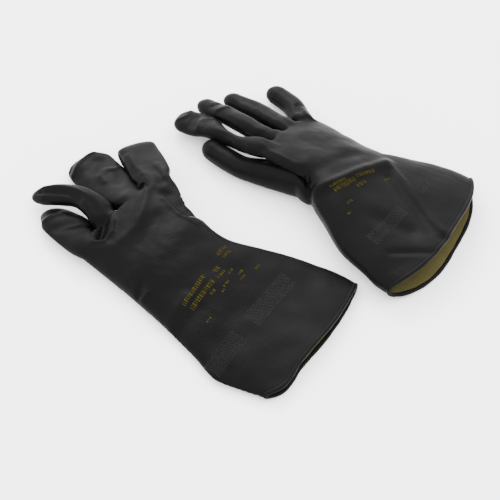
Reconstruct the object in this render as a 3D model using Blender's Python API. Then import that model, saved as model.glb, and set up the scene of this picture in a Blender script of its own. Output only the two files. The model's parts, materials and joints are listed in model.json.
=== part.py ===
"""Pair of heavy rubber insulating gauntlet gloves, lying palm down.

Each glove is a flared gauntlet with a rolled bead and an olive inner layer, a hand
shell with five short stubs, and five digits of two hollow stalls each.
Shapes are written in a frame per glove: x runs from the wrist to the fingertips,
y runs towards the thumb and z is up.  The origin of that frame is the wrist axis.
"""

import math
from dataclasses import dataclass, replace

import bmesh
import bpy
from mathutils import Matrix, Vector

MM = 0.001

# Sizes shared by both gloves.
CUFF_HALF = 90 * MM
WRIST_HALF = 59.5 * MM
PALM_LENGTH = 88 * MM
RUBBER = 2.0 * MM
STALL_WALL = 1.3 * MM
LINER = 0.8 * MM
GAP = 0.3 * MM
BEAD_RADIUS = 2.2 * MM
RIM_LIFT = 1.5 * MM

# Running clearances where one piece turns inside another.
WRIST_PLAY = 0.7 * MM
STALL_PLAY = 0.5 * MM
KNUCKLE_RADIUS = 8.5 * MM
KNUCKLE_SETBACK = 5.5 * MM
MIDDLE_SETBACK = 4.0 * MM
THUMB_SETBACK = 8.0 * MM

# Wall of the short stubs that hold the digits, and their height over the floor.
STUB_WALL = 1.8 * MM
STUB_CLEARANCE = 0.2 * MM

# Points round each kind of section.
WIDE_POINTS = 24
STALL_POINTS = 12
BEAD_POINTS = 8

# Bottom of the wide sections is pressed flat by this factor.
FLAT_BASE = 1.1
SQUARENESS = 0.5


@dataclass(frozen=True)
class Digit:
    """One finger: where its knuckle sits on the hand and how it lies."""

    name: str
    x: float
    y: float
    half: float
    heading: float
    pitch: float
    base: float
    tip: float
    folded: bool = False


@dataclass(frozen=True)
class Thumb:
    """The thumb lies on the floor and swings about an upright axis."""

    x: float
    y: float
    half: float
    radius: float
    heading: float
    base: float
    tip: float


@dataclass(frozen=True)
class Glove:
    """Lay of one glove on the floor."""

    name: str
    side: int
    place: tuple
    heading: float
    cuff_length: float
    rim_radius: float
    wrist_radius: float
    wrist_setback: float
    rim_shift: float
    rim_slant: float
    rim_bow: float
    palm_rise: float
    palm_tilt: float
    palm_half: float
    lean: float
    thumb: Thumb
    digits: tuple


LEFT = Glove(
    name="left",
    side=-1,
    place=(-68 * MM, -42 * MM),
    heading=141.0,
    cuff_length=144 * MM,
    rim_radius=8.5 * MM,
    wrist_radius=15 * MM,
    wrist_setback=5 * MM,
    rim_shift=15 * MM,
    rim_slant=5 * MM,
    rim_bow=12 * MM,
    palm_rise=24 * MM,
    palm_tilt=0.136,
    palm_half=76 * MM,
    lean=0.14,
    thumb=Thumb(49 * MM, 50 * MM, 14 * MM, 6.2 * MM, -32.0, 28 * MM, 30 * MM),
    digits=(
        Digit("index", 101 * MM, 56 * MM, 15 * MM, 10.0, 8.0, 50 * MM, 36 * MM, True),
        Digit("middle", 105 * MM, 17.5 * MM, 15 * MM, 3.0, 9.0, 44 * MM, 44 * MM),
        Digit("ring", 101 * MM, -17.5 * MM, 15 * MM, -2.0, 6.0, 42 * MM, 42 * MM),
        Digit("little", 94 * MM, -51.5 * MM, 14 * MM, -5.0, 4.0, 34 * MM, 35 * MM),
    ),
)

RIGHT = Glove(
    name="right",
    side=1,
    place=(103 * MM, 77 * MM),
    heading=138.0,
    cuff_length=104 * MM,
    rim_radius=19 * MM,
    wrist_radius=22 * MM,
    wrist_setback=7 * MM,
    rim_shift=0.0,
    rim_slant=-16 * MM,
    rim_bow=18 * MM,
    palm_rise=25 * MM,
    palm_tilt=0.186,
    palm_half=68 * MM,
    lean=-0.02,
    thumb=Thumb(50 * MM, 60 * MM, 12 * MM, 9.5 * MM, 5.0, 50 * MM, 52 * MM),
    digits=(
        Digit("index", 100 * MM, 40 * MM, 12 * MM, 0.0, 12.0, 46 * MM, 48 * MM),
        Digit("middle", 105 * MM, 12.5 * MM, 13 * MM, -3.0, 9.0, 48 * MM, 48 * MM),
        Digit("ring", 103 * MM, -18 * MM, 13.5 * MM, -3.0, 6.0, 44 * MM, 44 * MM),
        Digit("little", 97 * MM, -50 * MM, 13 * MM, -12.0, 3.0, 34 * MM, 34 * MM),
    ),
)


@dataclass(frozen=True)
class Station:
    """One section of a loft, square to x unless slanted or bowed back in its middle."""

    x: float
    half: float
    radius: float
    y: float = 0.0
    z: float = 0.0
    tilt: float = 0.0
    slant: float = 0.0
    bow: float = 0.0


def inset(station, wall, forward=0.0):
    """The same section with a wall's thickness taken off all round."""
    return replace(
        station,
        x=station.x + forward,
        half=station.half - wall,
        radius=station.radius - wall,
    )


def between(first, second, share):
    """Section part of the way from one station to the next."""
    values = [
        getattr(first, field) + (getattr(second, field) - getattr(first, field)) * share
        for field in ("x", "half", "radius", "y", "z", "tilt", "slant")
    ]
    return Station(*values)


def signed_power(value, power):
    return math.copysign(abs(value) ** power, value)


def ring(station, points, flat=1.0):
    """Rounded-rectangle section; a flat factor above one presses its base flat."""
    loop = []
    for step in range(points):
        angle = 2 * math.pi * step / points
        across = signed_power(math.cos(angle), SQUARENESS)
        up = signed_power(math.sin(angle), SQUARENESS)
        if up < 0:
            up = max(-1.0, up * flat)
        y = across * station.half
        loop.append(Vector((
            station.x + station.slant * across - station.bow * (1 - across * across),
            station.y + y,
            station.z + up * station.radius + station.tilt * y,
        )))
    return loop


def barrel(radius, half, depth):
    """Stations of a rounded end that turns inside a mouth without touching it."""
    stations = []
    for share in (1.0, 0.6, 0.3):
        back = depth * share
        height = math.sqrt(radius * radius - back * back)
        width = half * (1 - (back / radius) ** 4) ** 0.25
        stations.append(Station(-back, width, height))
    return stations


def bridge(bm, lower, upper):
    count = len(lower)
    for step in range(count):
        after = (step + 1) % count
        bm.faces.new((lower[step], lower[after], upper[after], upper[step]))


def skin(bm, rings):
    """Faces along a run of rings; returns the first and last loops of vertices."""
    loops = [[bm.verts.new(point) for point in points] for points in rings]
    for lower, upper in zip(loops, loops[1:]):
        bridge(bm, lower, upper)
    return loops[0], loops[-1]


def finish_mesh(bm, name, frame):
    bmesh.ops.transform(bm, matrix=frame, verts=bm.verts)
    bmesh.ops.recalc_face_normals(bm, faces=bm.faces)
    mesh = bpy.data.meshes.new(name)
    bm.to_mesh(mesh)
    bm.free()
    return mesh


def solid_mesh(name, rings, frame):
    """Closed solid through the rings, capped at both ends."""
    bm = bmesh.new()
    first, last = skin(bm, rings)
    bm.faces.new(first)
    bm.faces.new(last)
    return finish_mesh(bm, name, frame)


def tube_mesh(name, outer, inner, frame, closed=False):
    """Wall between two runs of rings, open at both ends or closed at the far one."""
    bm = bmesh.new()
    outer_first, outer_last = skin(bm, outer)
    inner_first, inner_last = skin(bm, inner)
    bridge(bm, outer_first, inner_first)
    if closed:
        bm.faces.new(outer_last)
        bm.faces.new(inner_last)
    else:
        bridge(bm, outer_last, inner_last)
    return finish_mesh(bm, name, frame)


def new_material(name, color, roughness):
    material = bpy.data.materials.new(name)
    material.use_nodes = True
    shader = material.node_tree.nodes["Principled BSDF"]
    shader.inputs["Base Color"].default_value = (*color, 1.0)
    shader.inputs["Roughness"].default_value = roughness
    return material


def new_collection(name):
    collection = bpy.data.collections.new(name)
    bpy.context.scene.collection.children.link(collection)
    return collection


def add_object(name, mesh, collection, frame, axis_point=(0.0, 0.0, 0.0)):
    """Link a mesh written in world space, with its origin at a point of the frame."""
    origin = frame @ Vector(axis_point)
    mesh.transform(Matrix.Translation(-origin))
    item = bpy.data.objects.new(name, mesh)
    item.location = origin
    collection.objects.link(item)
    return item


def glove_frame(glove):
    """Wrist axis of the glove at half the height of its wrist opening."""
    turn = math.radians(glove.heading)
    forward = Vector((math.cos(turn), math.sin(turn), 0.0))
    thumbward = Vector((-math.sin(turn), math.cos(turn), 0.0)) * glove.side
    frame = Matrix.Identity(4)
    for row in range(3):
        frame[row][0] = forward[row]
        frame[row][1] = thumbward[row]
        frame[row][2] = (0.0, 0.0, 1.0)[row]
    frame[0][3] = glove.place[0]
    frame[1][3] = glove.place[1]
    frame[2][3] = glove.wrist_radius
    return frame


def digit_frame(glove, x, y, z, heading, pitch):
    """Frame of a digit: x along it, y thumbward, z away from the palm."""
    turn = Matrix.Rotation(math.radians(heading), 4, "Z")
    drop = Matrix.Rotation(math.radians(pitch), 4, "Y")
    return glove_frame(glove) @ Matrix.Translation((x, y, z)) @ turn @ drop


def gauntlet_stations(glove):
    """Flared cuff from the rim to the mouth that holds the hand."""
    stations = []
    for share in (0.0, 0.05, 0.25, 0.5, 0.75, 0.93, 1.0):
        away = 1 - share
        radius = glove.rim_radius + (glove.wrist_radius - glove.rim_radius) * share ** 1.5
        lift = RIM_LIFT if share == 0.0 else 0.0
        stations.append(Station(
            x=-glove.wrist_setback - glove.cuff_length * away,
            half=WRIST_HALF + (CUFF_HALF - WRIST_HALF) * (1 - share * share),
            radius=radius,
            y=glove.rim_shift * away,
            z=radius - glove.wrist_radius + lift,
            slant=glove.rim_slant * away,
            bow=glove.rim_bow * away * away,
        ))
    return stations


def wide_rings(stations):
    return [ring(station, WIDE_POINTS, FLAT_BASE) for station in stations]


def inner_run(stations, wall, start=0.0, end=0.0):
    """Stations a wall further in, with the first and last moved along x."""
    moved = [inset(station, wall) for station in stations]
    moved[0] = inset(stations[0], wall, start)
    moved[-1] = inset(stations[-1], wall, end)
    return moved


def build_gauntlet(glove, collection, paints):
    frame = glove_frame(glove)
    stations = gauntlet_stations(glove)
    outer = wide_rings(stations)
    inner = wide_rings(inner_run(stations, RUBBER))
    name = f"{glove.name}_gauntlet"
    shell = add_object(name, tube_mesh(name, outer, inner, frame), collection, frame)
    shell.data.materials.append(paints["cuff"])

    skin_depth = RUBBER + GAP
    liner_outer = wide_rings(inner_run(stations[:-1], skin_depth, GAP))
    liner_inner = wide_rings(inner_run(stations[:-1], skin_depth + LINER, GAP))
    name = f"{glove.name}_gauntlet_liner"
    mesh = tube_mesh(name, liner_outer, liner_inner, frame)
    liner = add_object(name, mesh, collection, frame)
    liner.data.materials.append(paints["liner"])


def build_bead(glove, collection, paints):
    """Rolled edge just beyond the end of the cuff wall."""
    frame = glove_frame(glove)
    rim = inset(gauntlet_stations(glove)[0], RUBBER / 2, -GAP - BEAD_RADIUS)
    path = ring(rim, WIDE_POINTS, FLAT_BASE)
    centre = Vector((rim.x, rim.y, rim.z))
    bm = bmesh.new()
    loops = []
    for point in path:
        outward = point - centre
        outward.x = 0.0
        outward.y *= rim.radius / rim.half
        outward.normalize()
        loop = []
        for step in range(BEAD_POINTS):
            angle = 2 * math.pi * step / BEAD_POINTS
            offset = outward * math.cos(angle) + Vector((math.sin(angle), 0.0, 0.0))
            loop.append(bm.verts.new(point + offset * BEAD_RADIUS))
        loops.append(loop)
    for lower, upper in zip(loops, loops[1:] + loops[:1]):
        bridge(bm, lower, upper)
    name = f"{glove.name}_cuff_bead"
    bead = add_object(name, finish_mesh(bm, name, frame), collection, frame)
    bead.data.materials.append(paints["bead"])


def palm_stations(glove):
    """Hand shell from the rounded wrist end to the closed front between the stubs."""
    radius = glove.wrist_radius - RUBBER - WRIST_PLAY
    half = WRIST_HALF - RUBBER - 2 * WRIST_PLAY
    stations = barrel(radius, half, glove.wrist_setback + 3 * MM)
    straight = 14 * MM
    front_radius = 11.5 * MM
    for share in (0.0, 0.16, 0.33, 0.52, 0.75, 1.0):
        x = PALM_LENGTH * share
        blend = min(1.0, max(0.0, (x - straight) / (0.35 * PALM_LENGTH)))
        stations.append(Station(
            x=x,
            half=half + (glove.palm_half - half) * blend ** 1.3,
            radius=radius + (front_radius - radius) * blend,
            y=glove.lean * max(0.0, x - straight),
            z=(glove.palm_rise - glove.wrist_radius) * blend,
            tilt=glove.palm_tilt * blend,
            slant=4 * MM * blend,
        ))
    return stations


def knuckle_frame(glove, digit):
    """Axis of a knuckle, on the middle surface of the tilted palm."""
    y = digit.y + glove.lean * digit.x
    z = glove.palm_rise - glove.wrist_radius + glove.palm_tilt * digit.y
    heading = digit.heading + math.degrees(math.atan(glove.lean))
    return digit_frame(glove, digit.x, y, z, heading, digit.pitch)


def thumb_frame(glove):
    """Upright thumb axis, with the stub lying just clear of the floor."""
    thumb = glove.thumb
    z = thumb.radius + STALL_PLAY + STUB_WALL + STUB_CLEARANCE - glove.wrist_radius
    return digit_frame(glove, thumb.x, thumb.y, z, thumb.heading, 0.0)


def stub_pair(name, frame, half, radius, depth, setback):
    """Outer and inner solids of a short stub that ends just behind an axis."""
    outer = [
        ring(Station(x, half + STUB_WALL, radius + STUB_WALL), STALL_POINTS)
        for x in (-depth, -setback)
    ]
    inner = [
        ring(Station(x, half, radius), STALL_POINTS)
        for x in (3 * MM - depth, 1 * MM - setback)
    ]
    return solid_mesh(name, outer, frame), solid_mesh(name, inner, frame)


def stub_solids(glove):
    """All five stubs of a hand as (name, outer mesh, inner mesh)."""
    solids = []
    thumb = glove.thumb
    depth = THUMB_SETBACK + 20 * MM
    outer, inner = stub_pair(
        f"{glove.name}_thumb_stub", thumb_frame(glove),
        thumb.half + 1 * MM, thumb.radius + STALL_PLAY, depth, THUMB_SETBACK,
    )
    solids.append(("thumb", outer, inner))
    for digit in glove.digits:
        outer, inner = stub_pair(
            f"{glove.name}_{digit.name}_stub", knuckle_frame(glove, digit),
            digit.half + STALL_PLAY, KNUCKLE_RADIUS + STALL_PLAY, 24 * MM, KNUCKLE_SETBACK,
        )
        solids.append((digit.name, outer, inner))
    return solids


def add_cutter(name, mesh, cutters):
    cutter = bpy.data.objects.new(name, mesh)
    cutter.hide_render = True
    cutter.display_type = "WIRE"
    cutters.objects.link(cutter)
    return cutter


def add_boolean(item, cutter, operation):
    step = item.modifiers.new(cutter.name, "BOOLEAN")
    step.operation = operation
    step.solver = "EXACT"
    step.object = cutter


def build_hand(glove, collection, cutters, paints):
    """Hand shell: palm and stubs joined, then their insides taken out."""
    frame = glove_frame(glove)
    stations = palm_stations(glove)
    name = f"{glove.name}_hand"
    hand = add_object(name, solid_mesh(name, wide_rings(stations), frame), collection, frame)
    hand.data.materials.append(paints["hand"])

    hollow = inner_run(stations, RUBBER, -2 * MM, -2.2 * MM)
    solids = stub_solids(glove)
    for digit_name, outer, inner in solids:
        cutter = add_cutter(f"{glove.name}_{digit_name}_stub_outside", outer, cutters)
        add_boolean(hand, cutter, "UNION")
    mesh = solid_mesh(f"{name}_hollow", wide_rings(hollow), frame)
    add_boolean(hand, add_cutter(f"{name}_inside", mesh, cutters), "DIFFERENCE")
    for digit_name, outer, inner in solids:
        cutter = add_cutter(f"{glove.name}_{digit_name}_stub_inside", inner, cutters)
        add_boolean(hand, cutter, "DIFFERENCE")

    lined = stations[:-1] + [between(stations[-2], stations[-1], 0.5)]
    skin_depth = RUBBER + 2 * GAP
    liner_outer = wide_rings(inner_run(lined, skin_depth, GAP))
    liner_inner = wide_rings(inner_run(lined, skin_depth + LINER, GAP))
    name = f"{glove.name}_hand_liner"
    mesh = tube_mesh(name, liner_outer, liner_inner, frame)
    liner = add_object(name, mesh, collection, frame)
    liner.data.materials.append(paints["liner"])
    thumb = glove.thumb
    passage = [
        ring(Station(x, thumb.half + 3 * MM, thumb.radius + 3 * MM), STALL_POINTS)
        for x in (-THUMB_SETBACK - 22 * MM, 0.0)
    ]
    mesh = solid_mesh(f"{name}_passage", passage, thumb_frame(glove))
    add_boolean(liner, add_cutter(f"{name}_thumb_passage", mesh, cutters), "DIFFERENCE")


def stall_base(name, frame, radius, half, length, collection, paint, upright=False):
    """Hollow stall open at both ends, with a rounded end inside its stub."""
    if upright:
        stations = [
            Station(s.x, s.radius, min(radius, s.half))
            for s in barrel(half, radius, THUMB_SETBACK + 1.5 * MM)
        ]
    else:
        stations = barrel(radius, half, KNUCKLE_SETBACK + 1.5 * MM)
    stations += [Station(0.0, half, radius), Station(10 * MM, half, radius)]
    mouth = length - MIDDLE_SETBACK
    stations += [Station(0.6 * mouth, half + 1 * MM, radius), Station(mouth, half, radius)]
    outer = [ring(station, STALL_POINTS) for station in stations]
    inner = [ring(inset(station, STALL_WALL), STALL_POINTS) for station in stations]
    item = add_object(name, tube_mesh(name, outer, inner, frame), collection, frame)
    item.data.materials.append(paint)


TIP_PROFILE = ((0.45, 1.0, 1.0), (0.72, 0.94, 0.95), (0.9, 0.76, 0.78), (1.0, 0.42, 0.45))


def stall_tip(name, frame, radius, half, length, collection, paint):
    """Hollow fingertip, closed at its end and rounded where it enters the stall."""
    stations = barrel(radius, half, min(MIDDLE_SETBACK + 1.2 * MM, 0.9 * radius))
    stations.append(Station(0.0, half, radius))
    for along, width, height in TIP_PROFILE:
        stations.append(Station(along * length, width * half, height * radius))
    outer = [ring(station, STALL_POINTS) for station in stations]
    walls = inner_run(stations, STALL_WALL, 0.0, -STALL_WALL)
    inner = [ring(station, STALL_POINTS) for station in walls]
    mesh = tube_mesh(name, outer, inner, frame, closed=True)
    item = add_object(name, mesh, collection, frame)
    item.data.materials.append(paint)


def folded_tip(name, frame, radius, half, length, collection, paint):
    """Fingertip doubled back under its stall, hinged along the fold."""
    turned = frame @ Matrix.Rotation(math.pi, 4, "Y")
    mouth = GAP
    stations = [Station(mouth, half, radius, z=radius + GAP)]
    for along, width, height in TIP_PROFILE:
        stations.append(Station(
            along * length, width * half, height * radius, z=radius + GAP,
        ))
    outer = [ring(station, STALL_POINTS) for station in stations]
    walls = inner_run(stations, STALL_WALL, 0.0, -STALL_WALL)
    inner = [ring(station, STALL_POINTS) for station in walls]
    mesh = tube_mesh(name, outer, inner, turned, closed=True)
    item = add_object(name, mesh, collection, turned)
    item.data.materials.append(paint)


def build_digits(glove, collection, paints):
    tip_play = STALL_WALL + STALL_PLAY
    for digit in glove.digits:
        frame = knuckle_frame(glove, digit)
        name = f"{glove.name}_{digit.name}"
        stall_base(
            f"{name}_base", frame, KNUCKLE_RADIUS, digit.half, digit.base,
            collection, paints["stall"],
        )
        if digit.folded:
            fold = Vector((digit.base - MIDDLE_SETBACK + GAP, 0.0, -KNUCKLE_RADIUS - GAP))
            folded_tip(
                f"{name}_tip", frame @ Matrix.Translation(fold),
                KNUCKLE_RADIUS - STALL_WALL, digit.half, digit.tip,
                collection, paints["tip"],
            )
        else:
            joint = frame @ Matrix.Translation((digit.base, 0.0, 0.0))
            stall_tip(
                f"{name}_tip", joint, KNUCKLE_RADIUS - tip_play, digit.half - tip_play,
                digit.tip, collection, paints["tip"],
            )

    thumb = glove.thumb
    frame = thumb_frame(glove)
    stall_base(
        f"{glove.name}_thumb_base", frame, thumb.radius, thumb.half, thumb.base,
        collection, paints["stall"], upright=True,
    )
    joint = frame @ Matrix.Translation((thumb.base, 0.0, 0.0))
    stall_tip(
        f"{glove.name}_thumb_tip", joint, thumb.radius - tip_play, thumb.half - tip_play,
        thumb.tip, collection, paints["tip"],
    )


def floor_shift(collection):
    """Move that centres the pair's box on the origin and stands it on the floor."""
    bpy.context.view_layer.update()
    corners = [
        item.matrix_world @ Vector(corner)
        for item in collection.objects for corner in item.bound_box
    ]
    low = Vector([min(corner[axis] for corner in corners) for axis in range(3)])
    high = Vector([max(corner[axis] for corner in corners) for axis in range(3)])
    return Vector((-(low.x + high.x) / 2, -(low.y + high.y) / 2, -low.z))


def main():
    for item in list(bpy.data.objects):
        bpy.data.objects.remove(item, do_unlink=True)
    collection = new_collection("insulating_gloves")
    cutters = new_collection("cutters")
    paints = {
        "cuff": new_material("cuff_rubber", (0.014, 0.014, 0.015), 0.62),
        "bead": new_material("bead_rubber", (0.011, 0.011, 0.012), 0.5),
        "hand": new_material("hand_rubber", (0.02, 0.019, 0.021), 0.55),
        "stall": new_material("stall_rubber", (0.022, 0.021, 0.023), 0.55),
        "tip": new_material("tip_rubber", (0.018, 0.018, 0.019), 0.6),
        "liner": new_material("olive_inner_layer", (0.16, 0.14, 0.045), 0.7),
    }
    for glove in (LEFT, RIGHT):
        build_gauntlet(glove, collection, paints)
        build_bead(glove, collection, paints)
        build_hand(glove, collection, cutters, paints)
        build_digits(glove, collection, paints)
    shift = floor_shift(collection)
    for item in list(collection.objects) + list(cutters.objects):
        item.location += shift


main()
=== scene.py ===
"""Looks of a pair of black rubber insulating gauntlets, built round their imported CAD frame.

Each glove is one continuous rubber skin.  It is lofted and merged with its fingers
straight and apart, then every digit is carried on to the curve it lies along, the
folds are pressed in, and the skin is cut into one piece for each joint.
Lengths are in millimetres in a frame per glove: x from the wrist to the fingertips,
y towards the thumb and z up from the floor.
"""

import json
import math

import bmesh
import bpy
import numpy as np
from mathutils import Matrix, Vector, noise
from mathutils.bvhtree import BVHTree


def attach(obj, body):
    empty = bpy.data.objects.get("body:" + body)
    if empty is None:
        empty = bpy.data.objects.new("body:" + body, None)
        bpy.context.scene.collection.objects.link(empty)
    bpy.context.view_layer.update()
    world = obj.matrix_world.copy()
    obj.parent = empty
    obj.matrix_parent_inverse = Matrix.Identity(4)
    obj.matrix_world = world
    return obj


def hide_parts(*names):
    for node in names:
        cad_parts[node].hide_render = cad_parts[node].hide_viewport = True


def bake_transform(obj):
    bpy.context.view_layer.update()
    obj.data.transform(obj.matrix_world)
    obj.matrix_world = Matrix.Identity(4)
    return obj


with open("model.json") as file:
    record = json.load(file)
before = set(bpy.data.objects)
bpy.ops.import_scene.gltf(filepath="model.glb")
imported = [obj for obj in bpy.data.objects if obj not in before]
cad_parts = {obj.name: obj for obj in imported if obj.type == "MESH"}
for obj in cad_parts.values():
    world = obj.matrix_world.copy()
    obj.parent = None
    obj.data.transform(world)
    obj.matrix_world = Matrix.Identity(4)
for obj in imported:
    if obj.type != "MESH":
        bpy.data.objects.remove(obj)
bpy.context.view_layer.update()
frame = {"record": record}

MM = 0.001
DIGIT_NAMES = ("thumb", "index", "middle", "ring", "little")

# How fine the meshes are.
VOXEL = 1.7
SMOOTH_ROUNDS = 14
BODY_SECTIONS = 64
SECTION_POINTS = 40
TUBE_POINTS = 24
LAY_POINTS = 200
BEAD_SECTIONS = 260
BEAD_SIDES = 14

# The rubber: walls, how deep the olive layer lies and how far past the wrist it goes.
SKIN_WALL = 1.3
LINER_DEPTH = 1.9
LINER_WALL = 0.7
LINER_REACH = 10.0
BEAD_RADIUS = 2.3
FLOOR_GAP = 0.3
BEAD_FLOOR_GAP = 0.2

# Along a digit: the part of the stall inside the hand, the stretch over which it
# turns on to its curve, where it parts from the hand, and half the length of a bend.
BURIED = 24.0
RAMP = 18.0
SEAM = 3.0
BEND_REACH = 10.0
KNUCKLE_SHARE = 0.6
CUT_BACK = 3.0

# The wrist's bend, and the folded finger's, to both sides of its fold line.
WRIST_REACH = 16.0
WRIST_HEIGHT = 16.0
FOLD_OUT = 16.0
FOLD_IN = 6.0

# Soft waves all over the rubber: size, height, and how much higher on the hand.
WAVES = ((24.0, 1.0, 0.3), (9.0, 0.08, 0.16))

# Mouth: how blunt its bow is on the little finger's side and on the thumb's side,
# and the ripple of its upper layer.
BOW_POWER_LITTLE = 5.0
BOW_POWER_THUMB = 2.0
RIPPLE = 1.2
RIPPLE_LENGTH = 17.0

# Raised grip points, and the lift of the stamping ink above the rubber.
STUD_FOOT = 0.3
GRIP_PITCH = 2.5
GRIP_SIZE = 1.05
GRIP_HEIGHT = 1.0
TIP_GRIP_LENGTH = 15.0
TIP_GRIP_PITCH = 1.5
TIP_GRIP_TURNS = 20
TIP_GRIP_SIZE = 0.9
TIP_GRIP_HEIGHT = 0.45
TIP_GRIP_CLEARANCE = 1.5
INK_LIFT = 0.16

# Rubbers: name, darkest and lightest tone, lowest and highest roughness, sheen.
SHEEN = 0.03
RUBBERS = {
    "skin": ("black_rubber", (0.0012, 0.00115, 0.00125), (0.0028, 0.0027, 0.0029), 0.36, 0.46, SHEEN),
    "tip": ("fingertip_rubber", (0.0014, 0.00135, 0.00145), (0.0032, 0.0031, 0.0033), 0.36, 0.46, SHEEN),
    # The grip points are coloured lighter grey than the skin. Part of this is wear on their tops; part
    # is a painted highlight standing for the light the raised points catch.
    "grip": ("grip_rubber", (0.011, 0.0107, 0.0112), (0.019, 0.0185, 0.0195), 0.34, 0.46, SHEEN),
    "bead": ("bead_rubber", (0.0016, 0.0016, 0.0017), (0.003, 0.003, 0.0031), 0.32, 0.42, SHEEN),
    "liner": ("olive_inner_layer", (0.034, 0.029, 0.009), (0.06, 0.052, 0.018), 0.6, 0.8, 0.1),
}
DUST = (0.007, 0.0067, 0.007, 1.0)
INK_WORN = (0.006, 0.0055, 0.001, 1.0)
INK_FULL = (0.026, 0.022, 0.0003, 1.0)

# Studio: the point looked at from the left wrist, in metres, the camera and the light.
AIM_FROM_WRIST = (0.068, 0.042, 0.0)
CAMERA_ELEVATION = 47.0
CAMERA_DISTANCE = 1.8
CAMERA_LENS = 124.6
SENSOR_WIDTH = 36.0
LAMP_PLACE = (-0.3, 1.75, 1.55)
LAMP_SIZE = 0.9
LAMP_POWER = 46.0
SKY_STRENGTH = 5.0
FLOOR_HALF = 6.0
FLOOR_DROP = 0.0005

# Widths and heights of the sections of the arm and hand, rim first:
# x, y, half width, bottom, top, rise across the section, slant of the section.
LEFT_BODY = (
    (-158, 17, 84, 0.5, 15, 0.00, 5),
    (-149, 16, 87, 0.5, 15, 0.00, 5),
    (-128, 12, 90, 0.5, 15, 0.00, 6),
    (-101, 6, 90, 0.5, 16, 0.00, 7),
    (-69, 6, 80, 0.5, 19, 0.02, 5),
    (-28, 2, 66, 0.5, 25, 0.04, 0),
    (0, 0, 59, 0.5, 30, 0.06, -3),
    (30, 4, 58, 1.5, 33, 0.09, -6),
    (66, 12, 63, 4, 34, 0.09, -6),
    (88, 17, 67, 8, 33, 0.09, -4),
    (99, 18, 68, 11, 31, 0.09, -3),
)
RIGHT_BODY = (
    (-119, -3, 90, 0.5, 37, 0.00, -17),
    (-110, -3, 91, 0.5, 36, 0.00, -17),
    (-91, -2, 90, 0.5, 36, 0.00, -18),
    (-72, -1, 86, 0.5, 37, 0.02, -19),
    (-42, 2, 78, 0.5, 40, 0.05, -14),
    (-16, -1, 66, 0.5, 44, 0.10, -6),
    (0, -4, 58, 0.5, 45, 0.14, 2),
    (20, -8, 50, 5, 44, 0.19, -4),
    (42, -10, 48, 12, 42, 0.24, -7),
    (66, -9, 50, 16, 40, 0.26, -9),
    (84, -8, 51, 17, 38, 0.27, -9),
    (93, -8, 51, 18, 37, 0.27, -9),
)


class Digit:
    """One digit: how it is lofted, and the curve that it is carried on to.

    root and heading place the straight stall; points are x, y, z, half width,
    half height and roll in degrees along the curve it lies on.
    """

    def __init__(self, name, root, heading, half, height, points):
        self.name = name
        self.root = np.array(root, float)
        self.heading = math.radians(heading)
        self.half = half
        self.height = height
        self.points = np.array(points, float)


LEFT_DIGITS = (
    Digit("thumb", (26, 50, 15), 48, 13, 10, (
        (26, 50, 15, 13, 10, 0),
        (38, 54, 12, 12, 8.5, 0),
        (54, 60, 10, 12, 8, 0),
        (70, 64, 9.5, 11.5, 7.5, 0),
        (84, 63, 9, 11, 7, 0),
        (94, 56, 8.5, 10, 6.5, 0),
        (100, 46, 8, 9, 6, 0),
    )),
    Digit("index", (96, 68, 27), 28, 18, 10, (
        (96, 68, 27, 19.5, 10, 0),
        (109, 76, 26, 21.5, 8, 0),
        (126, 86, 24, 22, 6.5, 0),
        (142, 95, 22.5, 21, 5.5, 0),
        (151, 100, 20.5, 21, 5, 0),
        (155, 102, 16.5, 21, 5, 0),
        (151, 100, 12, 21, 5, 0),
        (142, 95, 10, 20, 5, 0),
        (126, 87, 9, 17, 5.5, 0),
        (108, 78, 8.5, 14, 5.5, 0),
    )),
    Digit("middle", (97, 35, 23), 10, 15, 10, (
        (97, 35, 23, 17, 10, 0),
        (110, 37, 20, 22, 9, 0),
        (126, 41, 17, 25, 8, 0),
        (152, 47, 13, 27, 7, 2),
        (177, 54, 10.5, 26, 6.5, 5),
        (195, 61, 10.5, 23, 6, 8),
    )),
    Digit("ring", (99, 0, 19), -8, 15, 10, (
        (99, 0, 19, 15, 10, 0),
        (112, 2, 21, 15, 10, 4),
        (126, 5, 23, 14, 10, 10),
        (147, 5, 23, 12, 10.5, 14),
        (166, -2, 20, 12, 10, 14),
        (183, -11, 15, 11, 8.5, 8),
        (195, -19, 11, 10, 7, 0),
    )),
    Digit("little", (97, -34, 14), -22, 17, 10, (
        (97, -34, 14, 18, 10, 0),
        (112, -31, 12, 21, 9, 0),
        (128, -28, 11, 22.5, 8, -3),
        (145, -26, 9.5, 21.5, 7.5, -5),
        (160, -25, 8, 18, 6.5, -4),
        (173, -27, 6.5, 13, 5.5, 0),
    )),
)
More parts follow.
